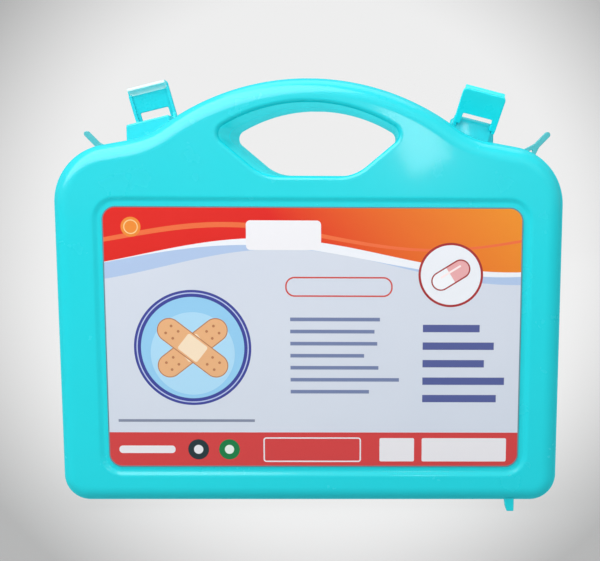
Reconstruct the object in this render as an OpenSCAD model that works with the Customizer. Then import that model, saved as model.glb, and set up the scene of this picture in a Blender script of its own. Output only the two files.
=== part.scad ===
// Toy doctor case: two like half shells, hinged along the bottom, with a handle
// arch on top, two flap latches on the shoulders and a tray for toy instruments.
// Millimetres, +Z up, label side towards -Y, origin under the middle of the case.

/* [Case body] */
// Width of the case
body_w = 260; // [220:1:320]
// Depth of one half shell, from the parting plane to its face
half_d = 37.5; // [30:0.5:50]
// Height of the shoulders above the underside, over the top corners
shoulder_h = 187; // [170:1:230]
// Rise of the shoulders towards the handle, as a slope
shoulder_slope = 0.18; // [0.1:0.01:0.3]
// Radius of the two bottom corners
bottom_r = 14; // [11:0.5:24]
// Radius of the two top corners
top_r = 30; // [20:1:40]
// Radius of the rounded edge between a face and the sides
edge_r = 9; // [6:0.5:10]
// Wall of the shells
wall = 2.4; // [1.8:0.1:3]
// Gap between the rims of the closed halves
rim_gap = 0.3; // [0.2:0.1:0.6]

/* [Handle] */
// Height of the handle arch above the shoulders' reference height
handle_rise = 32.8; // [28:0.2:45]
// Radius of the handle's outer arc
handle_r = 127; // [115:1:145]
// Thickness of the grip at its middle
grip_t = 12.3; // [10:0.1:18]
// Radius of the arc over the finger hole
hole_r = 84; // [66:1:100]
// Height of the finger hole at its middle
hole_h = 36.8; // [32:0.2:42]
// Half the width of the finger hole's flat floor
hole_floor = 23; // [16:0.2:28]
// Slope of the finger hole's lower sides in degrees
hole_side_deg = 40; // [30:1:48]
// Radius of the hollow curve where the arch meets the shoulders
flare_r = 45; // [30:1:60]

/* [Label] */
// Width of a label card
label_w = 213; // [170:1:216]
// Height of a label card
label_h = 135.5; // [110:0.5:138]
// Thickness of a label card
label_t = 0.5; // [0.3:0.1:0.8]
// Corner radius of a label card
label_r = 7; // [3:0.5:12]
// Height of a label's lower edge above the underside
label_z = 20; // [18:0.5:30]
// Offset of a label to the right of its half's middle
label_x = 2.2; // [-4:0.1:4]
// Depth of the recess that the label lies in
recess_d = 1; // [0.8:0.1:1.2]
// Margin of bare recess around the label
recess_margin = 3.6; // [2:0.1:5]

/* [Feet and hinge] */
// Height of a foot below the underside
foot_h = 5.2; // [4.8:0.1:8]
// Width of a foot where it leaves the shell
foot_w = 5; // [4:0.5:9]
// Length of a foot, front to back
foot_l = 7; // [5:0.5:12]
// Distance of a foot from the middle of the case
foot_x = 105; // [95:1:110]
// Radius of a hinge pin
hinge_pin_r = 0.9; // [0.7:0.05:1.1]
// Length of one hinge, over its three knuckles
hinge_len = 26; // [20:1:40]
// Distance of a hinge's middle from the middle of the case
hinge_x = 76; // [50:1:85]
// Length of a hinge's middle knuckle
knuckle_mid = 9; // [6:0.5:12]

/* [Latches] */
// Width of a flap latch
latch_w = 22.5; // [18:0.5:26]
// Length of a flap latch from its pivot to the outside of its lip
latch_l = 22.2; // [20:0.1:25]
// Thickness of the latch's plate, cheeks and lip
latch_t = 1.7; // [1.4:0.1:2]
// Tilt of a latch's pivot in degrees, along the shoulder
latch_tilt = 14; // [10:1:20]
// Distance of a latch's pivot from the middle of the case
latch_x = 85.9; // [80:0.1:92]
// Height of a latch's pivot above the shoulder line
latch_rise = 8.6; // [7:0.1:11]
// Distance of a latch's pivot from the parting plane
latch_y = 8.4; // [8:0.1:10]
// Width of each of the two arms that carry a latch's plate
arm_w = 3.4; // [2.6:0.1:5]
// Length of a latch's arms, from its pivot to its plate
arm_l = 8; // [6.5:0.1:9]
// Radius of a latch pin
latch_pin_r = 1.2; // [1:0.1:1.4]
// Angle of the left latch as it stands, 0 upright and 90 shut
left_angle = 6; // [-35:1:85]
// Angle of the right latch as it stands, 0 upright and 90 shut
right_angle = -34; // [-35:1:85]

/* [Tray] */
// Thickness of the tray's sheet
tray_t = 1; // [0.8:0.1:1.6]
// Depth of the tray's flange below the parting plane
tray_set = 3; // [2:0.5:6]
// Gap between the tray's edge and the shell
tray_gap = 0.6; // [0.4:0.1:1.2]

/* [Hidden] */
$fn = 64;

turquoise = [0.16, 0.82, 0.87];
paper_white = [0.86, 0.88, 0.92];
steel = [0.75, 0.76, 0.78];
tray_white = [0.93, 0.94, 0.94];

// Clearance of a pin in its bore, in radius
pin_gap = 0.05;
// Overrun that carries a cut cleanly past a face
over = 1;
// Sides of a hull's rounded corners
hull_fn = 32;

half_w = body_w / 2;
rim = rim_gap / 2;
shoulder_deg = atan(shoulder_slope);
// Centre of a top corner, whose arc touches the side and the shoulder line
top_x = half_w - top_r;
top_y = shoulder_h - top_r / cos(shoulder_deg);
ridge_y = shoulder_h + shoulder_slope * top_x;
ridge_r = edge_r + 3;
handle_top = shoulder_h + handle_rise;
handle_cy = handle_top - handle_r;
// How far the arch's form reaches down into the body
arch_sink = 20;
hole_top = handle_top - grip_t;
hole_cy = hole_top - hole_r;
hole_bottom = hole_top - hole_h;

// The hinge line lies just above the floor, so that the halves open flat
hinge_r = foot_h / 2 - 0.2;
hinge_y = hinge_r - foot_h;
knuckle_gap = 0.3;
knuckle_side = (hinge_len - knuckle_mid) / 2 - knuckle_gap;

// The latch's plate lies off its pivot by plate_in, so that it shuts over the block
latch_h = shoulder_h + shoulder_slope * (top_x - latch_x) + latch_rise;
plate_in = 3.3;
plate_out = plate_in + latch_t;
cheek_flange = 1.2;
lip_depth = 3.6;
lip_corner = 2.5;
pivot_r = 2.7;
cheek_gap = 0.35;
pivot_block_w = latch_w - 2 * (latch_t + cheek_gap);
lip_gap = 0.5;
catch_top = plate_in - cheek_flange - 0.5;
catch_reach = latch_l - latch_t - latch_y - lip_gap;
catch_w = latch_w + 0.6;

tray_floor = half_d - wall;
tray_edge = wall + tray_gap;
tray_w = body_w - 2 * tray_edge;
tray_h = hole_bottom - 2 * tray_edge;
tray_r = 12;
pocket_r = 8;
// Bare flange round the pockets, and between them
tray_border = 13;
pocket_land = 6;
// The pockets share the tray's width and height between them
field_w = tray_w - 2 * tray_border;
field_h = tray_h - 2 * (tray_border + pocket_land);
round_w = 0.42 * field_w;
tall_w = 0.13 * field_w;
mid_w = field_w - round_w - tall_w - 2 * pocket_land;
slim_h = 0.13 * field_h;
long_h = 0.19 * field_h;
box_h = field_h - slim_h - long_h - 2 * pocket_land;
field_x = -field_w / 2;
field_y = tray_edge + tray_border + pocket_land;
mid_x = field_x + round_w + pocket_land;

// Face coordinates: X across, Y up from the underside, Z out from the parting plane.
// front() stands them up as the front half, rear() as the half behind it.
module front() {
    translate([0, 0, foot_h]) rotate([90, 0, 0]) children();
}

module rear() {
    rotate([0, 0, 180]) front() children();
}

module rounded_rect(w, h, r) {
    square([w - 2 * r, h], center = true);
    square([w, h - 2 * r], center = true);
    for (sx = [-1, 1], sy = [-1, 1])
        translate([sx * (w / 2 - r), sy * (h / 2 - r)]) circle(r = r);
}

// Section of a puck from z0 up to its face, whose outer edge is rounded
module puck_section(r, z0, face, edge) {
    difference() {
        translate([0, z0]) square([r, face - z0]);
        translate([r - edge, face - edge]) difference() {
            square([edge + over, edge + over]);
            circle(r = edge);
        }
    }
}

module corner_puck(r, z0, inset) {
    rotate_extrude($fn = hull_fn)
        puck_section(r - inset, z0, half_d - inset, edge_r - inset, $fn = hull_fn);
}

// Convex body of a half, inset all round and on its face
module pillow(inset, z0) {
    hull() {
        for (sx = [-1, 1]) {
            translate([sx * (half_w - bottom_r), bottom_r]) corner_puck(bottom_r, z0, inset);
            translate([sx * top_x, top_y]) corner_puck(top_r, z0, inset);
        }
        translate([0, ridge_y - ridge_r / cos(shoulder_deg)]) corner_puck(ridge_r, z0, inset);
    }
}

// Handle arch of a half: the top of a wide puck, down to well inside the body
module arch(inset, z0) {
    hull() intersection() {
        translate([0, handle_cy]) rotate_extrude($fn = 4 * hull_fn)
            puck_section(handle_r - inset, z0, half_d - inset, edge_r - inset, $fn = hull_fn);
        translate([-half_w, shoulder_h - arch_sink, z0 - over])
            cube([body_w, handle_r, half_d + 2 * over]);
    }
}

// Finger hole, grown by a wall where it bounds the cavity
module hole_outline(grow) {
    floor_x = hole_floor + grow * tan(hole_side_deg / 2);
    floor_y = hole_bottom - grow;
    reach = 60;
    rise = reach * tan(hole_side_deg);
    intersection() {
        translate([0, hole_cy]) circle(r = hole_r + grow);
        polygon([
            [-floor_x, floor_y], [floor_x, floor_y],
            [floor_x + reach, floor_y + rise], [floor_x + reach, handle_top],
            [-floor_x - reach, handle_top], [-floor_x - reach, floor_y + rise]
        ]);
    }
}

// Hollow curve between the arch and a shoulder: an arc that touches both
module flare_outline() {
    sink = 6;
    near = handle_r + flare_r;
    k = ridge_y + flare_r / cos(shoulder_deg) - handle_cy;
    a = 1 + shoulder_slope * shoulder_slope;
    b = shoulder_slope * k;
    cx = (b + sqrt(b * b - a * (k * k - near * near))) / a;
    cy = handle_cy + k - shoulder_slope * cx;
    on_arch = [cx * handle_r / near, handle_cy + (cy - handle_cy) * handle_r / near];
    on_shoulder = [cx - flare_r * sin(shoulder_deg), cy - flare_r * cos(shoulder_deg)];
    low = on_shoulder[1] - sink;
    difference() {
        polygon([on_arch, [on_arch[0], low], [on_shoulder[0], low], on_shoulder]);
        translate([cx, cy]) circle(r = flare_r);
    }
}

module flares() {
    for (side = [0, 1]) mirror([side, 0, 0]) translate([0, 0, rim])
        linear_extrude(half_d - edge_r - rim) flare_outline();
}

module half_form(inset, z0) {
    difference() {
        union() {
            pillow(inset, z0);
            arch(inset, z0);
        }
        translate([0, 0, z0 - over])
            linear_extrude(half_d - z0 + 2 * over) hole_outline(inset);
    }
}

module label_recess() {
    margin = 2 * recess_margin;
    translate([label_x, label_z + label_h / 2, half_d - recess_d])
        linear_extrude(recess_d + over)
            rounded_rect(label_w + margin, label_h + margin, label_r + recess_margin);
}

// Tapered foot peg under the shell, near its face
module foot() {
    taper = 1.2;
    sink = 2;
    set_back = 3.5;
    translate([foot_x, 0, half_d - set_back - foot_l]) linear_extrude(foot_l)
        polygon([
            [-foot_w / 2, sink], [taper - foot_w / 2, -foot_h],
            [foot_w / 2, -foot_h], [foot_w / 2, sink]
        ]);
}

// One hinge knuckle with its web up to the shell, from x0 to x1
module knuckle(x0, x1) {
    sink = 2;
    translate([x0, hinge_y, 0]) rotate([0, 90, 0]) cylinder(r = hinge_r, h = x1 - x0);
    translate([x0, hinge_y, rim]) cube([x1 - x0, sink - hinge_y, hinge_r - rim]);
}

// A half has two knuckles on its own right and a middle one on its left
module knuckles() {
    end = hinge_len / 2;
    knuckle(hinge_x - end, hinge_x - end + knuckle_side);
    knuckle(hinge_x + end - knuckle_side, hinge_x + end);
    knuckle(-hinge_x - knuckle_mid / 2, -hinge_x + knuckle_mid / 2);
}

module hinge_bore() {
    translate([-half_w, hinge_y, 0]) rotate([0, 90, 0])
        cylinder(r = hinge_pin_r + pin_gap, h = body_w);
}

// Frame on a latch's pivot, on a half's own right: X along the pivot, Y up from
// the shoulder, Z out from the parting plane
module at_pivot() {
    translate([latch_x, latch_h, latch_y]) rotate([0, 0, -latch_tilt]) children();
}

// The same frame where the other half's latch shuts, on the parting plane
module at_catch() {
    translate([-latch_x, latch_h, 0]) rotate([0, 0, latch_tilt]) children();
}

module pin_along_x(r, len) {
    translate([-len / 2, 0, 0]) rotate([0, 90, 0]) cylinder(r = r, h = len);
}

// Block that the latch turns on
module pivot_block() {
    down = latch_rise + 6.7;
    at_pivot() {
        pin_along_x(pivot_r, pivot_block_w);
        translate([-pivot_block_w / 2, -down, -pivot_r])
            cube([pivot_block_w, down, 2 * pivot_r]);
    }
}

// Room for the latch's cheeks where the flare would reach them
module cheek_room() {
    room_w = latch_w + 2 * cheek_gap;
    at_pivot() {
        pin_along_x(pivot_r + cheek_gap, room_w);
        translate([-room_w / 2, -pivot_r, 0])
            cube([room_w, 2 * pivot_r, plate_in + latch_t / 2 + cheek_gap]);
    }
}

// Block that the other half's latch shuts over, upright on its outer side
module catch_block() {
    down = latch_rise + 5.7;
    lean = (down + catch_top) * tan(latch_tilt);
    at_catch() translate([0, 0, rim]) linear_extrude(catch_reach - rim)
        polygon([
            [-catch_w / 2, catch_top], [-catch_w / 2 - lean, -down],
            [catch_w / 2, -down], [catch_w / 2, catch_top]
        ]);
}

// Small forked lug on the top corner, near the rim
module corner_lug() {
    deep = 3;
    stem_w = 3;
    stem_l = 11.8;
    leg = 2;
    spread = 4.6;
    sink = 5.6;
    lean = 44;
    round_corner = 30.5;
    off_rim = 8.5;
    out = top_r + 2.5;
    translate([top_x + out * sin(round_corner), top_y + out * cos(round_corner), off_rim])
        rotate([0, 0, -lean])
        linear_extrude(deep) {
            translate([-stem_w / 2, 2]) square([stem_w, stem_l - 2]);
            translate([0, stem_l]) circle(r = stem_w / 2);
            for (side = [-1, 1])
                polygon([
                    [side * spread, -sink], [side * (spread - leg), -sink],
                    [0, 1.5], [0, 4], [side * stem_w / 2, 4]
                ]);
        }
}

module half_shell() {
    difference() {
        union() {
            difference() {
                union() {
                    half_form(0, rim);
                    flares();
                }
                cheek_room();
            }
            corner_lug();
            catch_block();
            pivot_block();
            foot();
            knuckles();
        }
        half_form(wall, rim - over);
        label_recess();
        hinge_bore();
        at_pivot() pin_along_x(latch_pin_r + pin_gap, 2 * latch_w);
    }
}

module front_shell() {
    color(turquoise) front() half_shell();
}

module rear_shell() {
    color(turquoise) rear() half_shell();
}

module label_card() {
    translate([label_x, label_z + label_h / 2, half_d - recess_d])
        linear_extrude(label_t) rounded_rect(label_w, label_h, label_r);
}

module front_label() {
    color(paper_white) front() label_card();
}

module rear_label() {
    color(paper_white) rear() label_card();
}

// One pocket, from its lower left corner, with the sheet round it if grown
module pocket(x, y, w, h, grow, floor_z) {
    translate([x + w / 2, y + h / 2, tray_set - over])
        linear_extrude(floor_z - tray_set + over)
            rounded_rect(w + 2 * grow, h + 2 * grow, pocket_r + grow);
}

module pockets(grow, floor_z) {
    top = field_y + field_h;
    pocket(field_x, field_y, round_w, field_h, grow, floor_z);
    pocket(field_x + field_w - tall_w, field_y, tall_w, field_h, grow, floor_z);
    pocket(mid_x, top - slim_h, mid_w, slim_h, grow, floor_z);
    pocket(mid_x, top - slim_h - pocket_land - long_h, mid_w, long_h, grow, floor_z);
    pocket(mid_x, field_y, mid_w, box_h, grow, floor_z);
}

module instrument_tray() {
    color(tray_white) rear() difference() {
        union() {
            translate([0, hole_bottom / 2, tray_set])
                linear_extrude(tray_t) rounded_rect(tray_w, tray_h, tray_r);
            intersection() {
                pockets(tray_t, tray_floor);
                translate([-half_w, 0, tray_set]) cube([body_w, hole_bottom, half_d]);
            }
        }
        pockets(0, tray_floor - tray_t);
    }
}

// A latch in its pivot frame, upright: plate, lip, and cheeks round the pin
module latch_form() {
    arm_low = 1.6;
    cheek_x = latch_w / 2 - latch_t;
    difference() {
        union() {
            translate([-latch_w / 2, arm_l, plate_in])
                cube([latch_w, latch_l - arm_l - lip_corner, latch_t]);
            for (x = [-latch_w / 2, latch_w / 2 - arm_w])
                translate([x, arm_low, plate_in]) cube([arm_w, arm_l - arm_low + over, latch_t]);
            translate([0, 0, plate_in]) linear_extrude(latch_t) hull()
                for (sx = [-1, 1])
                    translate([sx * (latch_w / 2 - lip_corner), latch_l - lip_corner])
                        circle(r = lip_corner, $fn = hull_fn);
            translate([lip_corner - latch_w / 2, latch_l - latch_t, plate_out - latch_t - lip_depth])
                cube([latch_w - 2 * lip_corner, latch_t, lip_depth + latch_t / 2]);
            for (x = [-latch_w / 2, cheek_x]) translate([x, 0, 0]) {
                rotate([0, 90, 0]) cylinder(r = pivot_r, h = latch_t);
                cube([latch_t, pivot_r, plate_in + latch_t / 2]);
                translate([0, arm_low, plate_in - cheek_flange])
                    cube([latch_t, latch_l - lip_corner - arm_low, cheek_flange + latch_t / 2]);
            }
        }
        pin_along_x(latch_pin_r + pin_gap, 2 * latch_w);
    }
}

module latch_left() {
    color(turquoise) rear() at_pivot() rotate([-left_angle, 0, 0]) latch_form();
}

module latch_right() {
    color(turquoise) front() at_pivot() rotate([-right_angle, 0, 0]) latch_form();
}

module latch_pin_left() {
    color(steel) rear() at_pivot() pin_along_x(latch_pin_r, latch_w);
}

module latch_pin_right() {
    color(steel) front() at_pivot() pin_along_x(latch_pin_r, latch_w);
}

module hinge_pin(side) {
    color(steel) front() translate([side * hinge_x, hinge_y, 0])
        pin_along_x(hinge_pin_r, hinge_len);
}

module hinge_pin_left() {
    hinge_pin(-1);
}

module hinge_pin_right() {
    hinge_pin(1);
}

front_shell();
rear_shell();
front_label();
rear_label();
instrument_tray();
latch_left();
latch_right();
latch_pin_left();
latch_pin_right();
hinge_pin_left();
hinge_pin_right();
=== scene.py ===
import math

import bmesh
import bpy
from mathutils import Matrix, Quaternion, Vector
from mathutils.geometry import delaunay_2d_cdt


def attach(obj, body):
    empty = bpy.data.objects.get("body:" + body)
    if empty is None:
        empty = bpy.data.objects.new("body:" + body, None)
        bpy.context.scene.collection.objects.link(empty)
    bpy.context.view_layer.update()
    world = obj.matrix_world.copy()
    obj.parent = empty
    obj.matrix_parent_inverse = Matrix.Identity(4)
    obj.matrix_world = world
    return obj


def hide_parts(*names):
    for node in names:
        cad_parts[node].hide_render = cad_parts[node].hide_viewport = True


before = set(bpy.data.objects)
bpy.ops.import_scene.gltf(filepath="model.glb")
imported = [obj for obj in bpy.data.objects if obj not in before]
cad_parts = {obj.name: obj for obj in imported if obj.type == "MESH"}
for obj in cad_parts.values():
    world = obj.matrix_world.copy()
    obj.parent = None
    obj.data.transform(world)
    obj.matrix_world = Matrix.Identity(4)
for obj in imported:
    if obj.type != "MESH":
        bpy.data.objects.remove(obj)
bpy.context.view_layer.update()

# Sizes in millimetres, in face coordinates: X across, Y up from the underside,
# Z out from the parting plane
MM = 0.001
HALF_W = 130.0
HALF_D = 37.5
SHOULDER_H = 187.0
SHOULDER_SLOPE = 0.18
BOTTOM_R = 14.0
TOP_R = 30.0
EDGE_R = 9.0
WALL = 2.4
RIM = 0.15
INSIDE_EDGE_R = 5.4
HOLE_INSIDE_R = 0.8
HANDLE_TOP = 219.8
HANDLE_R = 127.0
GRIP_T = 12.3
HOLE_R = 84.0
HOLE_H = 36.8
HOLE_FLOOR = 23.0
HOLE_SIDE = math.radians(40)
HOLE_TIP_R = 5.0
HOLE_FLOOR_R = 22.0
HOLE_EDGE_R = 2.2
FLARE_R = 45.0
LABEL_W = 213.0
LABEL_H = 135.5
LABEL_R = 7.0
LABEL_Z = 20.0
LABEL_X = 2.2
RECESS_D = 1.0
RECESS_MARGIN = 3.6
FOOT_H = 5.2
FOOT_W = 5.0
FOOT_L = 7.0
FOOT_X = 105.0
HINGE_R = FOOT_H / 2 - 0.2
HINGE_Y = HINGE_R - FOOT_H
HINGE_LEN = 26.0
HINGE_X = 76.0
KNUCKLE_MID = 9.0
KNUCKLE_GAP = 0.3
LATCH_W = 22.5
LATCH_L = 22.2
LATCH_T = 1.7
LATCH_TILT = math.radians(14)
LATCH_X = 85.9
LATCH_RISE = 8.6
LATCH_Y = 8.4
LEFT_ANGLE = math.radians(6)
RIGHT_ANGLE = math.radians(-34)
PIVOT_R = 2.7
CHEEK_GAP = 0.35
PLATE_IN = 3.3
CHEEK_FLANGE = 1.2
LIP_GAP = 0.5
LIP_DEPTH = 3.6
LIP_CORNER = 2.5
ARM_W = 3.4
ARM_L = 8.0
ARM_LOW = 1.6
CATCH_MORE = 0.3
TRAY_T = 1.0
TRAY_GAP = 0.6
TRAY_SET = 3.0

SHOULDER_DEG = math.atan(SHOULDER_SLOPE)
TOP_X = HALF_W - TOP_R
TOP_Y = SHOULDER_H - TOP_R / math.cos(SHOULDER_DEG)
RIDGE_Y = SHOULDER_H + SHOULDER_SLOPE * TOP_X
LATCH_H = RIDGE_Y - SHOULDER_SLOPE * LATCH_X + LATCH_RISE
HANDLE_CY = HANDLE_TOP - HANDLE_R
HOLE_TOP = HANDLE_TOP - GRIP_T
HOLE_CY = HOLE_TOP - HOLE_R
HOLE_BOTTOM = HOLE_TOP - HOLE_H
# A narrow flat strip beside each rounded edge, which keeps the flat faces flat in shading
STRIP = 0.3
# Steps in the rounding of a shell's edge; a hole's side is the last of them and the bands down to the rim
EDGE_STEPS = 14
SIDE_BANDS = 8
# Which of a piece's materials its faces take; the first is the plastic of its body
# The second is painted light: in the shells the hole's sides take a brighter, faintly glowing copy of the
# plastic
SIDE_PAINTED_LIGHT_MATERIAL = 1
# In the left latch the lip's second material is a pale copy of the plastic, a painted highlight
LIP_HIGHLIGHT_MATERIAL = 1
LUG_MATERIAL = 2


# Placing face coordinates in the frame

def front_place(p):
    return Vector((p[0] * MM, -p[2] * MM, (p[1] + FOOT_H) * MM))


def rear_place(p):
    return Vector((-p[0] * MM, p[2] * MM, (p[1] + FOOT_H) * MM))


def pivot_frame(p, lean=0.0):
    """A point in a latch's pivot frame, turned outwards by lean, in face coordinates."""
    y = p[1] * math.cos(lean) + p[2] * math.sin(lean)
    z = p[2] * math.cos(lean) - p[1] * math.sin(lean)
    c, s = math.cos(LATCH_TILT), math.sin(LATCH_TILT)
    return (LATCH_X + p[0] * c + y * s, LATCH_H - p[0] * s + y * c, LATCH_Y + z)


def catch_frame(p):
    c, s = math.cos(LATCH_TILT), math.sin(LATCH_TILT)
    return (-LATCH_X + p[0] * c - p[1] * s, LATCH_H + p[0] * s + p[1] * c, p[2])


# Outlines are closed lists of (x, y, normal x, normal y), the normal out of the material

def quarter_turn(steps):
    """Sines and cosines of the angles of a quarter turn."""
    angles = [math.pi / 2 * k / steps for k in range(steps + 1)]
    return [(math.sin(a), math.cos(a)) for a in angles]


def arc(cx, cy, r, start, end, out=1.0, step=math.radians(3)):
    count = max(2, math.ceil(abs(end - start) / step))
    turns = [start + (end - start) * k / count for k in range(count + 1)]
    return [(cx + r * math.cos(t), cy + r * math.sin(t), out * math.cos(t), out * math.sin(t)) for t in turns]


def distinct(path):
    """The outline without points that lie on the one before."""
    near = 1e-5
    return [p for k, p in enumerate(path) if math.dist(p[:2], path[k - 1][:2]) > near]


def mirrored(half):
    """A right half, from the bottom to the top, closed with its mirror image."""
    return distinct(half + [(-x, y, -nx, ny) for x, y, nx, ny in reversed(half)])


def body_outline():
    k = RIDGE_Y + FLARE_R / math.cos(SHOULDER_DEG) - HANDLE_CY
    a = 1 + SHOULDER_SLOPE ** 2
    b = SHOULDER_SLOPE * k
    near = HANDLE_R + FLARE_R
    cx = (b + math.sqrt(b * b - a * (k * k - near * near))) / a
    cy = HANDLE_CY + k - SHOULDER_SLOPE * cx
    lift = math.atan2(cy - HANDLE_CY, cx)
    quarter = math.pi / 2
    half = arc(HALF_W - BOTTOM_R, BOTTOM_R, BOTTOM_R, -quarter, 0)
    half += arc(TOP_X, TOP_Y, TOP_R, 0, quarter - SHOULDER_DEG)
    half += arc(cx, cy, FLARE_R, -quarter - SHOULDER_DEG, lift - math.pi, out=-1.0)
    half += arc(0, HANDLE_CY, HANDLE_R, lift, quarter, step=math.radians(1.5))[:-1]
    return mirrored(half)


def hole_outline():
    """The finger hole, with its tips and floor corners rounded; its normals point into the hole."""
    side = (math.cos(HOLE_SIDE), math.sin(HOLE_SIDE))
    up = (-math.sin(HOLE_SIDE), math.cos(HOLE_SIDE))
    base = (HOLE_FLOOR + HOLE_TIP_R * up[0], HOLE_BOTTOM - HOLE_CY + HOLE_TIP_R * up[1])
    b = base[0] * side[0] + base[1] * side[1]
    c = base[0] ** 2 + base[1] ** 2 - (HOLE_R - HOLE_TIP_R) ** 2
    t = -b + math.sqrt(b * b - c)
    tip = (base[0] + t * side[0], base[1] + t * side[1])
    aim = math.atan2(tip[1], tip[0])
    quarter = math.pi / 2
    floor_x = HOLE_FLOOR - HOLE_FLOOR_R * math.tan(HOLE_SIDE / 2)
    half = arc(floor_x, HOLE_BOTTOM + HOLE_FLOOR_R, HOLE_FLOOR_R, -quarter, HOLE_SIDE - quarter, out=-1.0)
    half += arc(tip[0], tip[1] + HOLE_CY, HOLE_TIP_R, HOLE_SIDE - quarter, aim, out=-1.0)
    half += arc(0, HOLE_CY, HOLE_R, aim, quarter, out=-1.0)[:-1]
    return mirrored(half)


def rect_outline(x0, x1, y0, y1, r, out=1.0):
    quarter = math.pi / 2
    corners = [(x1 - r, y0 + r, -1), (x1 - r, y1 - r, 0), (x0 + r, y1 - r, 1), (x0 + r, y0 + r, 2)]
    path = []
    for cx, cy, turn in corners:
        path += arc(cx, cy, r, turn * quarter, (turn + 1) * quarter, out=out, step=math.radians(9))
    return distinct(path)


def rounded(points, r):
    """An outline round an anticlockwise polygon, with every corner rounded by r."""
    path = []
    count = len(points)
    for k in range(count):
        a, p, b = (Vector(points[(k + d) % count]) for d in (-1, 0, 1))
        u, v = (p - a).normalized(), (b - p).normalized()
        turn = math.atan2(u.x * v.y - u.y * v.x, u.dot(v))
        if abs(turn) < 1e-6:
            continue
        way = 1 if turn > 0 else -1
        normal = Vector((u.y, -u.x))
        cut = r * math.tan(abs(turn) / 2)
        centre = p - u * cut - normal * r * way
        start = math.atan2(normal.y * way, normal.x * way)
        path += arc(centre.x, centre.y, r, start, start + turn, out=way, step=math.radians(15))
    return distinct(path)


# Meshes are built from rings, each an outline moved along its normals to a height

def within(point, outline):
    """Whether a point lies inside a closed outline."""
    inside = False
    for (x0, y0), (x1, y1) in zip(outline, outline[1:] + outline[:1]):
        if (y0 > point[1]) != (y1 > point[1]):
            if point[0] < x0 + (x1 - x0) * (point[1] - y0) / (y1 - y0):
                inside = not inside
    return inside


class Skin:
    def __init__(self, place):
        self.bm = bmesh.new()
        self.place = place
        self.flat = {}
        self.material_index = 0

    def ring(self, path, offset, z):
        verts = []
        for x, y, nx, ny in path:
            flat = (x + nx * offset, y + ny * offset)
            vert = self.bm.verts.new(self.place((flat[0], flat[1], z)))
            self.flat[vert] = flat
            verts.append(vert)
        return verts

    def bridge(self, a, b, material_index):
        count = len(a)
        for k in range(count):
            face = self.bm.faces.new((a[k], a[(k + 1) % count], b[(k + 1) % count], b[k]))
            face.material_index = material_index

    def chain(self, path, profile, side=range(0)):
        """Rings along a profile of (offset, z), joined; returns the first and the last.

        The bands whose number is in side take the side's material, which in the shells is painted light."""
        rings = [self.ring(path, offset, z) for offset, z in profile]
        for k, (a, b) in enumerate(zip(rings, rings[1:])):
            self.bridge(a, b, SIDE_PAINTED_LIGHT_MATERIAL if k in side else self.material_index)
        return rings[0], rings[-1]

    def fill(self, *loops):
        """A flat face inside the first loop and outside the others."""
        verts = [vert for loop in loops for vert in loop]
        edges = []
        start = 0
        for loop in loops:
            count = len(loop)
            edges += [(start + k, start + (k + 1) % count) for k in range(count)]
            start += count
        points = [Vector(self.flat[vert]) for vert in verts]
        found = delaunay_2d_cdt(points, edges, [], 0, 1e-6)
        outlines = [[tuple(self.flat[vert]) for vert in loop] for loop in loops]
        for face in found[2]:
            corners = [found[3][k][0] for k in face]
            centre = sum((points[k] for k in corners), Vector((0, 0))) / len(corners)
            if sum(within(centre, outline) for outline in outlines) == 1:
                self.bm.faces.new([verts[k] for k in corners]).material_index = self.material_index

    def mesh_object(self, name):
        bmesh.ops.recalc_face_normals(self.bm, faces=self.bm.faces)
        for face in self.bm.faces:
            face.smooth = True
        mesh = bpy.data.meshes.new(name)
        self.bm.to_mesh(mesh)
        self.bm.free()
        obj = bpy.data.objects.new(name, mesh)
        bpy.context.scene.collection.objects.link(obj)
        return obj


def round_over(r, z, start_offset, steps=8):
    """Profile points of a rounded outer edge: from the flat top at z to the wall."""
    points = []
    for k in range(steps + 1):
        a = math.pi / 2 * (1 - k / steps)
        points.append((start_offset - r + r * math.cos(a), z - r + r * math.sin(a)))
    return points


# The slabs' corners are rounded by more than their edges and strips take
SLAB_STRIP = 0.1
CORNER_MORE = 0.2


def slab(skin, outer, holes, z0, z1, r):
    """A closed plate from z0 to z1, whose edges are rounded by r on both faces."""
    top = round_over(r, z1, 0.0, steps=4)
    bottom = [(offset, z0 + z1 - z) for offset, z in reversed(top)]
    profile = [(-r - SLAB_STRIP, z1)] + top + bottom + [(-r - SLAB_STRIP, z0)]
    ends = [skin.chain(path, profile) for path in [outer] + holes]
    skin.fill(*[first for first, last in ends])
    skin.fill(*[last for first, last in ends])


def polygon_slab(place, points, z0, z1, r, material_index=0):
    """A slab over an anticlockwise polygon, as a skin of its own."""
    skin = Skin(place)
    skin.material_index = material_index
    slab(skin, rounded(points, r + CORNER_MORE), [], z0, z1, r)
    return skin


def shell_profile(edge, inner_edge):
    """Profile of a shell's wall: face, rounded edge, side, rim, inside and inner face."""
    lip = 0.5
    inner_lip = 0.3
    inner_face = HALF_D - WALL
    points = [(-edge - STRIP, HALF_D)] + round_over(edge, HALF_D, 0.0, steps=EDGE_STEPS)
    points += [(0, HALF_D - edge - STRIP), (0, RIM + lip + STRIP)]
    points += [(-lip + lip * c, RIM + lip - lip * s) for s, c in quarter_turn(4)]
    points += [(-lip - STRIP, RIM), (-WALL + inner_lip + STRIP, RIM)]
    points += [(-WALL + inner_lip * (1 - s), RIM + inner_lip * (1 - c)) for s, c in quarter_turn(3)]
    points.append((-WALL, RIM + inner_lip + STRIP))
    inside = round_over(inner_edge, inner_face, -WALL)
    points += [(-WALL, inner_face - inner_edge - STRIP)] + inside[::-1]
    points.append((-WALL - inner_edge - STRIP / 3, inner_face))
    return points


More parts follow.
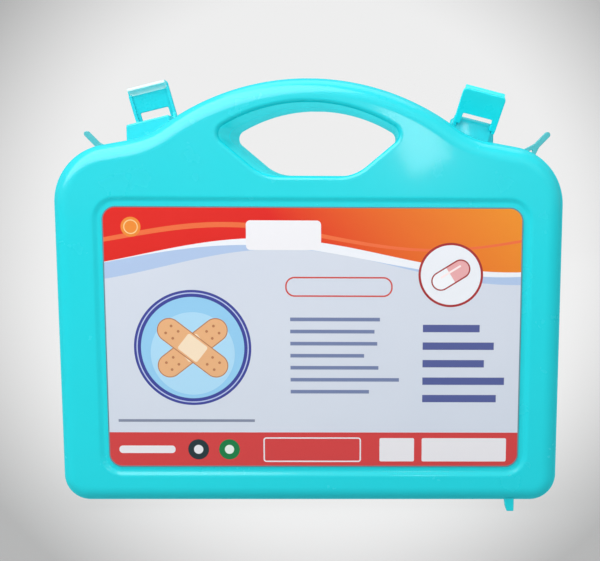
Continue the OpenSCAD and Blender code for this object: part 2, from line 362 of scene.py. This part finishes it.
def recess_profile():
    """Profile of the soft slope round the label, from the face down to the recess's floor."""
    reach = 1.6
    steps = 8
    points = [(-reach - STRIP, HALF_D)]
    for k in range(steps + 1):
        t = k / steps
        points.append((reach * (2 * t - 1), HALF_D - RECESS_D * t * t * (3 - 2 * t)))
    return points + [(reach + STRIP, HALF_D - RECESS_D)]


def add_shell(skin):
    outer_first, outer_last = skin.chain(body_outline(), shell_profile(EDGE_R, INSIDE_EDGE_R))
    hole_profile = shell_profile(HOLE_EDGE_R, HOLE_INSIDE_R)
    hole_side = range(EDGE_STEPS, EDGE_STEPS + SIDE_BANDS)
    # The hole's sides take the painted-light material
    hole_first, hole_last = skin.chain(hole_outline(), hole_profile, side=hole_side)
    margin = RECESS_MARGIN
    recess = rect_outline(LABEL_X - LABEL_W / 2 - margin, LABEL_X + LABEL_W / 2 + margin, LABEL_Z - margin,
                          LABEL_Z + LABEL_H + margin, LABEL_R + margin, out=-1.0)
    recess_first, recess_last = skin.chain(recess, recess_profile())
    skin.fill(outer_first, hole_first, recess_first)
    skin.fill(recess_last)
    skin.fill(outer_last, hole_last)


def along_x(place):
    """Turns an outline's (x, y, z) into (z, y, x), so that a slab runs along X."""
    return lambda p: place((p[2], p[1], -p[0]))


def round_end(x, y, r, start, end):
    """Points round an arc, for a polygon."""
    return [point[:2] for point in arc(x, y, r, math.radians(start), math.radians(end), step=math.radians(12))]


def catch_block(place):
    """The block that the other half's latch shuts over, upright on its outer side."""
    down = LATCH_RISE + 5.7
    w = LATCH_W / 2 + CATCH_MORE
    top = PLATE_IN - CHEEK_FLANGE - LIP_GAP
    deep = LATCH_L - LATCH_T - LATCH_Y - LIP_GAP
    lean = (down + top) * math.tan(LATCH_TILT)
    points = [(-w - lean, -down), (w, -down), (w, top), (-w, top)]
    return polygon_slab(lambda p: place(catch_frame(p)), points, RIM, deep, 0.8)


def pivot_block(place):
    """The block that the latch turns on."""
    down = LATCH_RISE + 6.7
    half = LATCH_W / 2 - LATCH_T - CHEEK_GAP
    points = [(-PIVOT_R, -down), (PIVOT_R, -down)] + round_end(0, 0, PIVOT_R, 0, 180)
    return polygon_slab(along_x(lambda p: place(pivot_frame(p))), points, -half, half, 0.3)


def corner_lug(place):
    """The small forked lug on the top corner."""
    deep = 3.0
    z0 = 8.5
    lean = math.radians(44)
    round_corner = math.radians(30.5)
    out = TOP_R + 2.5
    c, s = math.cos(lean), math.sin(lean)
    origin = (TOP_X + out * math.sin(round_corner), TOP_Y + out * math.cos(round_corner))
    points = [(-4.6, -5.6), (-2.6, -5.6), (0, 1.5), (2.6, -5.6), (4.6, -5.6), (1.5, 4)]
    points += round_end(0, 11.8, 1.5, 0, 180) + [(-1.5, 4)]
    spot = lambda p: place((origin[0] + p[0] * c + p[1] * s, origin[1] - p[0] * s + p[1] * c, p[2]))
    return polygon_slab(spot, points, z0, z0 + deep, 0.3, LUG_MATERIAL)


def foot(place):
    taper = 1.2
    sink = 2.0
    z1 = HALF_D - 3.5
    w = FOOT_W / 2
    points = [(FOOT_X - w + taper, -FOOT_H), (FOOT_X + w, -FOOT_H), (FOOT_X + w, sink), (FOOT_X - w, sink)]
    return polygon_slab(place, points, z1 - FOOT_L, z1, 0.4)


def knuckles(place):
    """Hinge knuckles with their webs: two on a half's own right, one on its left."""
    end = HINGE_LEN / 2
    side = (HINGE_LEN - KNUCKLE_MID) / 2 - KNUCKLE_GAP
    sink = 2.0
    points = [(-HINGE_R, sink)] + round_end(0, HINGE_Y, HINGE_R, 180, 450)
    points += [(-RIM, HINGE_Y + HINGE_R), (-RIM, sink)]
    spans = [(HINGE_X - end, HINGE_X - end + side), (HINGE_X + end - side, HINGE_X + end),
             (-HINGE_X - KNUCKLE_MID / 2, -HINGE_X + KNUCKLE_MID / 2)]
    return [polygon_slab(along_x(place), points, x0, x1, 0.15) for x0, x1 in spans]


def join(name, skins):
    """One object from several skins."""
    objs = [skin.mesh_object(f"{name}_{k}") for k, skin in enumerate(skins)]
    bm = bmesh.new()
    for obj in objs:
        bm.from_mesh(obj.data)
    mesh = bpy.data.meshes.new(name)
    bm.to_mesh(mesh)
    bm.free()
    whole = bpy.data.objects.new(name, mesh)
    bpy.context.scene.collection.objects.link(whole)
    for obj in objs:
        old = obj.data
        bpy.data.objects.remove(obj)
        bpy.data.meshes.remove(old)
    return whole


def make_shell(name, place):
    skin = Skin(place)
    add_shell(skin)
    parts = [skin, catch_block(place), pivot_block(place), corner_lug(place), foot(place)]
    return join(name, parts + knuckles(place))


# Latches

def make_latch(name, place, lean):
    """A flap latch: a plate on two arms, a hooked lip with a cove, and cheeks round the pin."""
    half = LATCH_W / 2
    corner = 2.2
    spot = lambda p: place(pivot_frame(p, lean))
    outline = [(-half, ARM_LOW), (ARM_W - half, ARM_LOW), (ARM_W - half, ARM_L), (half - ARM_W, ARM_L),
               (half - ARM_W, ARM_LOW), (half, ARM_LOW)]
    outline += round_end(half - corner, LATCH_L - corner, corner, 0, 90)
    outline += round_end(corner - half, LATCH_L - corner, corner, 90, 180)
    plate = polygon_slab(spot, outline, PLATE_IN, PLATE_IN + LATCH_T, 0.5)
    # In the side profiles, x is how far a point lies behind the pivot
    cove_r = 3.0
    inner = -PLATE_IN
    under = LATCH_L - LATCH_T
    tip = LIP_DEPTH - PLATE_IN
    tip_r = 1.1
    points = [(inner - 1.5, LATCH_L), (inner - 1.5, under - cove_r), (inner, under - cove_r)]
    points += round_end(inner + cove_r, under - cove_r, cove_r, 180, 90)[1:]
    points += [(tip, under)] + round_end(tip - tip_r, LATCH_L - tip_r, tip_r, 0, 90)
    lip_half = half - 0.9
    # The lip takes the piece's second material, which in the left latch is a painted highlight
    lip = polygon_slab(along_x(spot), points, -lip_half, lip_half, 0.3, LIP_HIGHLIGHT_MATERIAL)
    outside = -PLATE_IN - LATCH_T + 0.5
    flange = -PLATE_IN + CHEEK_FLANGE
    top = LATCH_L - LIP_CORNER
    cheek = [(outside, 0.0)] + round_end(0, 0, PIVOT_R, -90, 90)
    cheek += [(flange, 4.2), (flange, top - 2), (outside, top)]
    cheeks = [polygon_slab(along_x(spot), cheek, x0, x0 + LATCH_T, 0.3) for x0 in (-half, half - LATCH_T)]
    return join(name, [plate, lip] + cheeks)


# Tray

def pocket_profile(face, floor, mouth, foot, mouth_r, foot_r):
    """Profile of a pocket's wall: its rounded mouth at face, and its rounded foot at floor."""
    bends = quarter_turn(6)
    points = [(-mouth - STRIP, face)]
    points += [(-mouth + mouth_r * s, face + mouth_r - mouth_r * c) for s, c in bends]
    points += [(foot - foot_r * c, floor - foot_r + foot_r * s) for s, c in bends]
    return points + [(foot + STRIP, floor)]


def make_tray():
    """A thin tray with five pockets, rounded where its sheet bends."""
    edge = WALL + TRAY_GAP
    w = HALF_W - edge
    h = HOLE_BOTTOM - edge
    border = 13.0
    land = 6.0
    pocket_r = 8.0
    corner_r = 12.0
    sheet_r = 0.3
    field_w = 2 * w - 2 * border
    field_h = (HOLE_BOTTOM - 2 * edge) - 2 * (border + land)
    x0 = -field_w / 2
    y0 = edge + border + land
    round_w = 0.42 * field_w
    tall_w = 0.13 * field_w
    mid_w = field_w - round_w - tall_w - 2 * land
    slim_h = 0.13 * field_h
    long_h = 0.19 * field_h
    box_h = field_h - slim_h - long_h - 2 * land
    mid_x = x0 + round_w + land
    top = y0 + field_h
    pockets = [(x0, y0, round_w, field_h), (x0 + field_w - tall_w, y0, tall_w, field_h),
               (mid_x, top - slim_h, mid_w, slim_h), (mid_x, top - slim_h - land - long_h, mid_w, long_h),
               (mid_x, y0, mid_w, box_h)]
    skin = Skin(rear_place)
    face = TRAY_SET
    back = face + TRAY_T
    floor = HALF_D - WALL - TRAY_T
    rim = [(-sheet_r - STRIP, face), (-sheet_r, face), (0, face + sheet_r),
           (0, back - sheet_r), (-sheet_r, back), (-sheet_r - STRIP, back)]
    first, last = skin.chain(rect_outline(-w, w, edge, h, corner_r), rim)
    fronts, backs = [first], [last]
    mouth = 2.0
    foot = 3.0
    for x, y, wide, high in pockets:
        path = rect_outline(x, x + wide, y, y + high, pocket_r, out=-1.0)
        opening, bottom = skin.chain(path, pocket_profile(face, floor, mouth, foot, mouth, foot))
        skin.fill(bottom)
        fronts.append(opening)
        under = pocket_profile(back, floor + TRAY_T, mouth, foot, mouth - TRAY_T, foot + TRAY_T)
        opening, bottom = skin.chain(path, under)
        skin.fill(bottom)
        backs.append(opening)
    skin.fill(*fronts)
    skin.fill(*backs)
    return skin.mesh_object("tray_sheet")


# Materials

class Graph:
    """A node material, with short calls for the maths on it."""

    def __init__(self, name):
        self.material = bpy.data.materials.new(name)
        self.material.use_nodes = True
        self.tree = self.material.node_tree
        self.shader = self.tree.nodes["Principled BSDF"]

    def node(self, kind, **settings):
        made = self.tree.nodes.new(kind)
        for key, value in settings.items():
            setattr(made, key, value)
        return made

    def plug(self, value, socket):
        if isinstance(value, bpy.types.NodeSocket):
            self.tree.links.new(value, socket)
        else:
            socket.default_value = value

    def math(self, operation, *values, clamp=False):
        made = self.node("ShaderNodeMath", operation=operation, use_clamp=clamp)
        for value, socket in zip(values, made.inputs):
            self.plug(value, socket)
        return made.outputs[0]

    def vector(self, operation, *values):
        made = self.node("ShaderNodeVectorMath", operation=operation)
        for value, socket in zip(values, made.inputs):
            self.plug(value, socket)
        return made.outputs["Value" if operation in ("LENGTH", "DISTANCE", "DOT_PRODUCT") else "Vector"]

    def mix(self, factor, a, b):
        made = self.node("ShaderNodeMix", data_type="RGBA")
        self.plug(factor, made.inputs[0])
        self.plug(a, made.inputs[6])
        self.plug(b, made.inputs[7])
        return made.outputs[2]

    def noise(self, place, scale, detail=2.0):
        made = self.node("ShaderNodeTexNoise")
        self.plug(place, made.inputs["Vector"])
        made.inputs["Scale"].default_value = scale
        made.inputs["Detail"].default_value = detail
        return made.outputs["Fac"]

    def spread(self, value, low, high):
        """A value from 0 to 1, spread from low to high."""
        made = self.node("ShaderNodeMapRange")
        self.plug(value, made.inputs["Value"])
        made.inputs["To Min"].default_value = low
        made.inputs["To Max"].default_value = high
        return made.outputs["Result"]

    def bump(self, height, distance):
        made = self.node("ShaderNodeBump")
        self.plug(height, made.inputs["Height"])
        made.inputs["Distance"].default_value = distance
        self.tree.links.new(made.outputs["Normal"], self.shader.inputs["Normal"])

    def place(self):
        return self.node("ShaderNodeTexCoord").outputs["Object"]


class WorldGraph(Graph):
    """The same short calls on a world's nodes."""

    def __init__(self, world):
        self.tree = world.node_tree
        self.shader = self.tree.nodes["Background"]


def rgb(r, g, b):
    """A screen colour, 0 to 255, as linear light."""
    def linear(c):
        c /= 255
        return c / 12.92 if c <= 0.04045 else ((c + 0.055) / 1.055) ** 2.4
    return (linear(r), linear(g), linear(b), 1.0)


def moulded_plastic(name, colour, shade, roughness, grain):
    """Glossy moulded plastic: faint flow clouds, a fine skin and soft light haze."""
    g = Graph(name)
    place = g.place()
    clouds = g.noise(place, 9.0, detail=3.0)
    g.plug(g.mix(g.spread(clouds, 0.0, 1.0), colour, shade), g.shader.inputs["Base Color"])
    haze = g.noise(place, 60.0, detail=4.0)
    uneven = 0.05
    g.plug(g.spread(haze, roughness - uneven, roughness + uneven), g.shader.inputs["Roughness"])
    g.shader.inputs["Specular IOR Level"].default_value = 0.4
    g.shader.inputs["Coat Weight"].default_value = 0.5
    g.shader.inputs["Coat Roughness"].default_value = 0.08
    ripple = g.noise(place, 14.0, detail=0.0)
    skin = g.noise(place, 1500.0)
    height = g.math("ADD", g.math("MULTIPLY", ripple, 0.6), g.math("MULTIPLY", skin, grain))
    g.bump(height, 0.00015)
    return g.material


def paint_glow(material, colour, strength):
    """A painted glow: a faint emission that lightens a surface, though it is no lamp."""
    shader = material.node_tree.nodes["Principled BSDF"]
    shader.inputs["Emission Color"].default_value = colour
    shader.inputs["Emission Strength"].default_value = strength


def steel_wire():
    g = Graph("steel_wire")
    place = g.place()
    streaks = g.noise(g.vector("MULTIPLY", place, (60.0, 2500.0, 2500.0)), 1.0)
    g.plug(g.mix(streaks, (0.62, 0.63, 0.65, 1), (0.8, 0.8, 0.82, 1)), g.shader.inputs["Base Color"])
    g.plug(g.spread(streaks, 0.22, 0.4), g.shader.inputs["Roughness"])
    g.shader.inputs["Metallic"].default_value = 1.0
    g.bump(streaks, 0.00002)
    return g.material


class Print(Graph):
    """A printed film: coloured shapes laid over each other, in millimetres on the label."""

    # Width of a shape's blurred edge
    soft = 0.12

    def __init__(self, name, side):
        super().__init__(name)
        scale = self.vector("MULTIPLY", self.place(), (side / MM, 0.0, 1 / MM))
        split = self.node("ShaderNodeSeparateXYZ")
        self.plug(scale, split.inputs[0])
        self.u = self.math("SUBTRACT", split.outputs["X"], LABEL_X)
        self.v = self.math("SUBTRACT", split.outputs["Z"], FOOT_H)
        both = self.node("ShaderNodeCombineXYZ")
        self.plug(self.u, both.inputs[0])
        self.plug(self.v, both.inputs[1])
        self.uv = both.outputs[0]
        self.colour = None

    def inside(self, distance):
        return self.math("SUBTRACT", 0.5, self.math("DIVIDE", distance, self.soft), clamp=True)

    def disc(self, x, y, r):
        return self.math("SUBTRACT", self.vector("DISTANCE", self.uv, (x, y, 0)), r)

    def tile(self, x0, x1, y0, y1, r, turn=0.0):
        half = ((x1 - x0) / 2 - r, (y1 - y0) / 2 - r, 0)
        here = self.vector("SUBTRACT", self.uv, ((x0 + x1) / 2, (y0 + y1) / 2, 0))
        if turn:
            spin = self.node("ShaderNodeVectorRotate", rotation_type="Z_AXIS")
            self.plug(here, spin.inputs["Vector"])
            spin.inputs["Angle"].default_value = -turn
            here = spin.outputs[0]
        past = self.vector("MAXIMUM", self.vector("SUBTRACT", self.vector("ABSOLUTE", here), half), (0, 0, 0))
        return self.math("SUBTRACT", self.vector("LENGTH", past), r)

    def outline(self, distance, width):
        return self.math("SUBTRACT", self.math("ABSOLUTE", distance), width / 2)

    def wave(self, base, swing, length, phase):
        """Height of a wavy line across the label."""
        angle = self.math("ADD", self.math("DIVIDE", self.u, length / (2 * math.pi)), phase)
        return self.math("ADD", self.math("MULTIPLY", self.math("SINE", angle), swing), base)

    def lay(self, distance, colour):
        self.colour = self.mix(self.inside(distance), self.colour, colour)

    def cut(self, a, b):
        """The part of a shape that lies in both."""
        return self.math("MAXIMUM", a, b)


def plasters(art, x, y):
    """Two crossed sticking plasters with pads and air holes."""
    skin = rgb(236, 178, 128)
    dark_skin = rgb(190, 120, 80)
    pad = rgb(250, 226, 196)
    for turn in (math.radians(38), math.radians(-38)):
        strip = art.tile(x - 21, x + 21, y - 6, y + 6, 6, turn)
        art.lay(strip, skin)
        art.lay(art.outline(strip, 0.5), dark_skin)
        art.lay(art.tile(x - 6.2, x + 6.2, y - 5, y + 5, 1.2, turn), pad)
        c, s = math.cos(turn), math.sin(turn)
        for along in (-15.5, -11, 11, 15.5):
            for across in (-2.3, 2.3):
                art.lay(art.disc(x + along * c - across * s, y + along * s + across * c, 0.7), dark_skin)


def pill(art, x, y):
    """A two-coloured capsule, lying aslant."""
    turn = math.radians(32)
    body = art.tile(x - 10.5, x + 10.5, y - 4.6, y + 4.6, 4.6, turn)
    art.lay(body, rgb(245, 246, 250))
    aside = (x + 5.6 * math.cos(turn), y + 5.6 * math.sin(turn))
    half = art.tile(aside[0] - 5.6, aside[0] + 5.6, aside[1] - 6, aside[1] + 6, 0.01, turn)
    art.lay(art.cut(body, half), rgb(227, 62, 54))
    art.lay(art.outline(body, 0.7), rgb(160, 34, 34))
    art.lay(art.tile(x - 6, x + 6, y + 1.2, y + 2.2, 0.5, turn), rgb(255, 235, 235))


def ruled(art, x0, x1, y0, y1, pitch, colour, seed, share):
    """Plain bars of uneven length, where a block of print would be; share is a bar's part of the pitch."""
    uneven = 0.35
    rows = art.math("DIVIDE", art.math("SUBTRACT", art.v, y0), pitch)
    row = art.math("FLOOR", rows)
    across = art.math("ABSOLUTE", art.math("SUBTRACT", art.math("FRACT", rows), 0.5))
    bar = art.math("MULTIPLY", art.math("SUBTRACT", across, share / 2), pitch)
    chance = art.node("ShaderNodeTexWhiteNoise", noise_dimensions="1D")
    art.plug(art.math("ADD", row, seed), chance.inputs["W"])
    end = art.math("SUBTRACT", x1, art.math("MULTIPLY", chance.outputs["Value"], (x1 - x0) * uneven))
    past = art.math("SUBTRACT", art.u, end)
    block = art.tile(x0, x1, y0, y1, 0.05)
    art.lay(art.cut(art.cut(bar, past), block), colour)


def printed_film(name, side):
    art = Print(name, side)
    low = LABEL_Z
    clouds = art.noise(art.place(), 14.0)
    art.colour = art.mix(art.spread(clouds, 0.2, 0.8), rgb(222, 226, 236), rgb(206, 213, 228))
    # Header: a red wave over a pale blue one, running to orange at its thin end
    edge = art.wave(131, 8.5, 250, 2.2)
    art.lay(art.math("SUBTRACT", art.wave(125, 9, 238, 2.0), art.v), rgb(178, 199, 232))
    art.lay(art.math("SUBTRACT", art.wave(128, 8, 262, 2.4), art.v), rgb(240, 242, 248))
    art.lay(art.math("SUBTRACT", edge, art.v), rgb(226, 30, 20))
    glow = art.math("DIVIDE", art.math("ADD", art.u, art.math("MULTIPLY", art.v, 0.8)), 160.0)
    glow = art.math("SUBTRACT", glow, 0.62, clamp=True)
    header = art.inside(art.math("SUBTRACT", edge, art.v))
    art.colour = art.mix(art.math("MULTIPLY", glow, header), art.colour, rgb(244, 160, 40))
    art.lay(art.cut(art.math("SUBTRACT", art.wave(139, 6, 210, 2.9), art.v),
                    art.math("SUBTRACT", art.v, art.wave(141, 6.6, 214, 2.9))), rgb(240, 110, 60))
    # Footer: a red band with blank panels
    art.lay(art.math("SUBTRACT", art.v, low + 18.5), rgb(214, 62, 62))
    panel = rgb(236, 232, 236)
    for x0, x1 in ((56, 100), (34, 52)):
        art.lay(art.tile(x0, x1, low + 3, low + 15.5, 0.8), panel)
    box = art.tile(-26, 24, low + 3, low + 15.5, 1.2)
    art.lay(art.outline(box, 0.7), panel)
    art.lay(art.disc(-44, low + 9.4, 5.4), rgb(28, 120, 62))
    art.lay(art.disc(-44, low + 9.4, 2.4), rgb(232, 240, 232))
    art.lay(art.disc(-60, low + 9.4, 5.4), rgb(40, 44, 48))
    art.lay(art.disc(-60, low + 9.4, 2.4), rgb(232, 232, 236))
    art.lay(art.tile(-101, -72, low + 7.4, low + 11.4, 1.8), panel)
    # Medallion with crossed plasters
    art.lay(art.disc(-62, 83, 30), rgb(64, 66, 150))
    art.lay(art.disc(-62, 83, 26.4), rgb(150, 205, 240))
    art.lay(art.disc(-62, 80, 21.5), rgb(176, 220, 246))
    plasters(art, -62, 83)
    art.lay(art.outline(art.disc(-62, 83, 28.4), 0.6), rgb(190, 200, 236))
    # Badge with a capsule
    art.lay(art.disc(70, 121, 16.5), rgb(170, 40, 44))
    art.lay(art.disc(70, 121, 15.3), rgb(238, 240, 246))
    pill(art, 70, 121)
    # Blank tile, blank outlined box, orange disc
    art.lay(art.tile(-34, 4, 133.5, 148.5, 2.2), rgb(242, 240, 244))
    blank = art.tile(-14, 40, 110, 119.5, 4.4)
    art.lay(art.outline(blank, 0.8), rgb(210, 70, 60))
    art.lay(art.disc(-92, 145, 5), rgb(240, 140, 50))
    art.lay(art.outline(art.disc(-92, 145, 3.4), 0.5), rgb(250, 210, 150))
    # Plain bars
    ruled(art, -12, 44, 57, 101, 6.3, rgb(104, 116, 160), 3.0, 0.3)
    ruled(art, 56, 100, 52, 98, 9.2, rgb(58, 64, 140), 11.0, 0.42)
    ruled(art, -101, -24, 43, 46.5, 3.5, rgb(120, 126, 150), 23.0, 0.4)
    # A painted shade line round the label's edge, where the film's edge throws a thin shadow
    sheet = art.tile(-LABEL_W / 2, LABEL_W / 2, LABEL_Z, LABEL_Z + LABEL_H, LABEL_R)
    art.lay(art.outline(sheet, 1.3), rgb(96, 140, 150))
    art.plug(art.colour, art.shader.inputs["Base Color"])
    haze = art.noise(art.place(), 80.0)
    art.plug(art.spread(haze, 0.3, 0.42), art.shader.inputs["Roughness"])
    art.shader.inputs["Specular IOR Level"].default_value = 0.4
    art.bump(art.noise(art.place(), 900.0), 0.00002)
    return art.material


# The photograph's view, fitted to the outline of the case
CAMERA = Vector((0.03305, -0.49242, 0.17794))
YAW, PITCH, ROLL = -0.0138769, 0.1193051, 0.0050540
LENS = 1.5
SHIFT = -0.144
SENSOR = 36.0
PICTURE_W, PICTURE_H = 600, 561
FORWARD = Vector((-math.sin(YAW) * math.cos(PITCH), math.cos(YAW) * math.cos(PITCH), -math.sin(PITCH)))
LEVEL = FORWARD.cross(Vector((0, 0, 1))).normalized()
RIGHT = LEVEL * math.cos(ROLL) + LEVEL.cross(FORWARD) * math.sin(ROLL)
UP = RIGHT.cross(FORWARD)


# The white behind the case is an even pool of light about this line, which fades softly to the sides
POOL_AIM = (-0.0599, 0.9940, -0.0913)
POOL_EDGE = 0.275
POOL_FADE = 5.0
POOL_CURVE = 1.5
POOL_TONE = 0.975
DIM_TONE = 0.71
SCREEN_GAMMA = 2.2
SKY = 0.36
# How much of the floor is seen as that white; the rest is paper, which keeps the shadow
CLEAR = 0.88
PAPER = (0.36, 0.37, 0.37, 1)
# What glossy rays see in the paper: a turquoise painted reflection, so that the plastic mirrors turquoise, not
# grey paper
PAINTED_REFLECTION_TINT = (0.1, 0.72, 0.8, 1)


def studio_surface():
    """Pale paper: the camera sees mostly the studio's white in it, with the case's shadow on top; glossy rays
    see a turquoise painted reflection in it.

    What a pose lowers below it stays in sight and lit."""
    g = Graph("studio_paper")
    paper = g.shader
    paper.inputs["Base Color"].default_value = PAPER
    paper.inputs["Roughness"].default_value = 0.9
    paper.inputs["Specular IOR Level"].default_value = 0.1
    rays = g.node("ShaderNodeLightPath")
    glow = g.node("ShaderNodeEmission")
    # Glossy rays see the painted reflection tint instead of the paper
    glow.inputs["Color"].default_value = PAINTED_REFLECTION_TINT
    paper_with_painted_reflection = g.node("ShaderNodeMixShader")
    g.plug(rays.outputs["Is Glossy Ray"], paper_with_painted_reflection.inputs[0])
    g.tree.links.new(paper.outputs[0], paper_with_painted_reflection.inputs[1])
    g.tree.links.new(glow.outputs[0], paper_with_painted_reflection.inputs[2])
    blend = g.node("ShaderNodeMixShader")
    passing = g.math("MAXIMUM", rays.outputs["Is Camera Ray"], rays.outputs["Is Shadow Ray"])
    g.plug(g.math("MULTIPLY", passing, CLEAR), blend.inputs[0])
    g.tree.links.new(paper_with_painted_reflection.outputs[0], blend.inputs[1])
    g.tree.links.new(g.node("ShaderNodeBsdfTransparent").outputs[0], blend.inputs[2])
    g.tree.links.new(blend.outputs[0], g.tree.nodes["Material Output"].inputs["Surface"])
    return g.material


# The object

turquoise = moulded_plastic("turquoise_plastic", rgb(33, 219, 229), rgb(28, 212, 224), 0.26, 0.06)
flap = moulded_plastic("latch_plastic", rgb(32, 221, 231), rgb(27, 214, 226), 0.28, 0.06)
# A lighter copy of the latch plastic for the right latch: painted light, since that latch leans forward into
# shade
right_flap_painted_light = moulded_plastic("right_latch_painted_light_plastic", rgb(36, 243, 250), rgb(31, 237, 246), 0.28, 0.06)
# A pale copy of the latch plastic for the left latch's lip: a painted highlight on its cove
lip_painted_highlight = moulded_plastic("lip_painted_highlight_plastic", rgb(224, 254, 253), rgb(216, 252, 252), 0.3, 0.03)
# The hole's sides: a brighter copy of the body plastic with a faint painted glow, painted light where the
# walls lie in shade
hole_side_painted_light = moulded_plastic("hole_side_painted_light_plastic", rgb(4, 251, 254), rgb(2, 246, 252), 0.4, 0.0)
paint_glow(hole_side_painted_light, rgb(0, 235, 242), 0.05)
lug_plastic = moulded_plastic("lug_plastic", rgb(86, 190, 196), rgb(78, 182, 190), 0.34, 0.06)
white_tray = moulded_plastic("tray_plastic", rgb(226, 229, 230), rgb(216, 221, 223), 0.42, 0.1)
steel = steel_wire()


def finish_piece(obj, body, materials, slot, *nodes):
    for material in materials:
        obj.data.materials.append(material)
    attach(obj, body)
    if nodes:
        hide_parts(*nodes)


def repaint(node, material):
    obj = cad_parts[node]
    obj.data.materials.clear()
    obj.data.materials.append(material)


shell_plastics = [turquoise, hole_side_painted_light, lug_plastic]
finish_piece(make_shell("front_casing", front_place), "front_half", shell_plastics, "shell", "front_shell")
finish_piece(make_shell("rear_casing", rear_place), "rear_half", shell_plastics, "shell", "rear_shell")
finish_piece(make_latch("left_flap", rear_place, LEFT_ANGLE), "latch_left", [flap, lip_painted_highlight],
             "latch", "latch_left")
finish_piece(make_latch("right_flap_painted_light", front_place, RIGHT_ANGLE), "latch_right", [right_flap_painted_light, right_flap_painted_light],
             "latch", "latch_right")
finish_piece(make_tray(), "rear_half", [white_tray], "tray", "instrument_tray")
repaint("front_label", printed_film("front_print", 1))
repaint("rear_label", printed_film("rear_print", -1))
for pin in ("latch_pin_left", "latch_pin_right", "hinge_pin_left", "hinge_pin_right"):
    repaint(pin, steel)


# The studio

def make_backdrop():
    """A floor that curves up into a wall behind the case."""
    front, depth, bend, height, width = -3.0, 1.6, 0.6, 2.6, 5.0
    profile = [(front, 0.0)] + [(depth + bend * s, bend * (1 - c)) for s, c in quarter_turn(16)]
    profile.append((depth + bend, height))
    bm = bmesh.new()
    rows = [[bm.verts.new((x, y, z)) for x in (-width, width)] for y, z in profile]
    for a, b in zip(rows, rows[1:]):
        bm.faces.new((a[0], a[1], b[1], b[0])).smooth = True
    mesh = bpy.data.meshes.new("backdrop")
    bm.to_mesh(mesh)
    bm.free()
    obj = bpy.data.objects.new("backdrop", mesh)
    bpy.context.scene.collection.objects.link(obj)
    mesh.materials.append(studio_surface())


def soft_lamp(name, place, target, size, power, mirrored_too=True, turn=0.0):
    lamp = bpy.data.lights.new(name, "AREA")
    lamp.shape = "RECTANGLE"
    lamp.size, lamp.size_y = size
    lamp.energy = power
    obj = bpy.data.objects.new(name, lamp)
    bpy.context.scene.collection.objects.link(obj)
    obj.location = place
    aim = (Vector(target) - Vector(place)).to_track_quat("-Z", "Y")
    obj.rotation_euler = (aim @ Quaternion((0, 0, 1), turn)).to_euler()
    obj.visible_glossy = mirrored_too
    obj.visible_camera = False


def make_world():
    world = bpy.data.worlds.new("studio")
    bpy.context.scene.world = world
    world.use_nodes = True
    g = WorldGraph(world)
    way = g.vector("NORMALIZE", g.node("ShaderNodeTexCoord").outputs["Generated"])
    lined_up = g.math("ABSOLUTE", g.vector("DOT_PRODUCT", way, POOL_AIM))
    beyond = g.math("SUBTRACT", g.math("ARCCOSINE", lined_up), POOL_EDGE)
    fall = g.math("POWER", g.math("MAXIMUM", beyond, 0.0), POOL_CURVE)
    tone = g.math("MAXIMUM", g.math("SUBTRACT", POOL_TONE, g.math("MULTIPLY", fall, POOL_FADE)), DIM_TONE)
    light = g.math("POWER", tone, SCREEN_GAMMA)
    white = g.node("ShaderNodeCombineXYZ")
    for socket in white.inputs:
        g.plug(light, socket)
    seen = g.node("ShaderNodeLightPath").outputs["Is Camera Ray"]
    g.plug(g.mix(seen, (SKY, SKY, SKY, 1), white.outputs[0]), g.shader.inputs["Color"])


def make_camera():
    lens = bpy.data.cameras.new("camera")
    lens.sensor_width = SENSOR
    lens.lens = LENS * SENSOR
    lens.shift_x = SHIFT
    lens.clip_start = 0.01
    obj = bpy.data.objects.new("camera", lens)
    bpy.context.scene.collection.objects.link(obj)
    turn = Matrix((RIGHT, UP, -FORWARD)).transposed()
    obj.matrix_world = Matrix.Translation(CAMERA) @ turn.to_4x4()
    bpy.context.scene.camera = obj


def mirrored_in_face(x, y, far):
    """Where a lamp stands that the case's face mirrors at a point of the picture."""
    across = (x - PICTURE_W / 2) / PICTURE_W + SHIFT
    up = (PICTURE_H / 2 - y) / PICTURE_W
    ray = FORWARD + RIGHT * across / LENS + UP * up / LENS
    at = CAMERA + ray * ((-HALF_D * MM - CAMERA.y) / ray.y)
    ray.y = -ray.y
    return at, at + ray.normalized() * far


make_backdrop()
make_world()
make_camera()
CASE = (0.0, 0.0, 0.11)
# Name, place, size, power in watts and whether glossy faces mirror it
LAMPS = (("key", (-0.40, -0.53, 0.73), (1.0, 1.0), 8.7, True),
         ("fill", (0.30, -0.45, 0.50), (0.4, 0.4), 0.9, False),
         ("top", (0.0, 0.2, 1.5), (1.4, 0.8), 3.4, True),
         ("low", (0.2, -1.3, 0.1), (1.2, 0.4), 0.3, False),
         ("rear", (0.5, 1.2, 0.9), (0.9, 0.9), 4.5, False))
for name, place, size, power, mirrored_too in LAMPS:
    soft_lamp(name, place, CASE, size, power, mirrored_too)
# The picture's point where the window's highlight lies, right of the finger hole, and the window's distance
WINDOW_X, WINDOW_Y = 414, 130
WINDOW_FAR = 1.0
aim, stand = mirrored_in_face(WINDOW_X, WINDOW_Y, WINDOW_FAR)
soft_lamp("window", stand, aim, (0.07, 0.13), 0.2, turn=math.radians(27))
bpy.context.scene.view_settings.view_transform = "Standard"
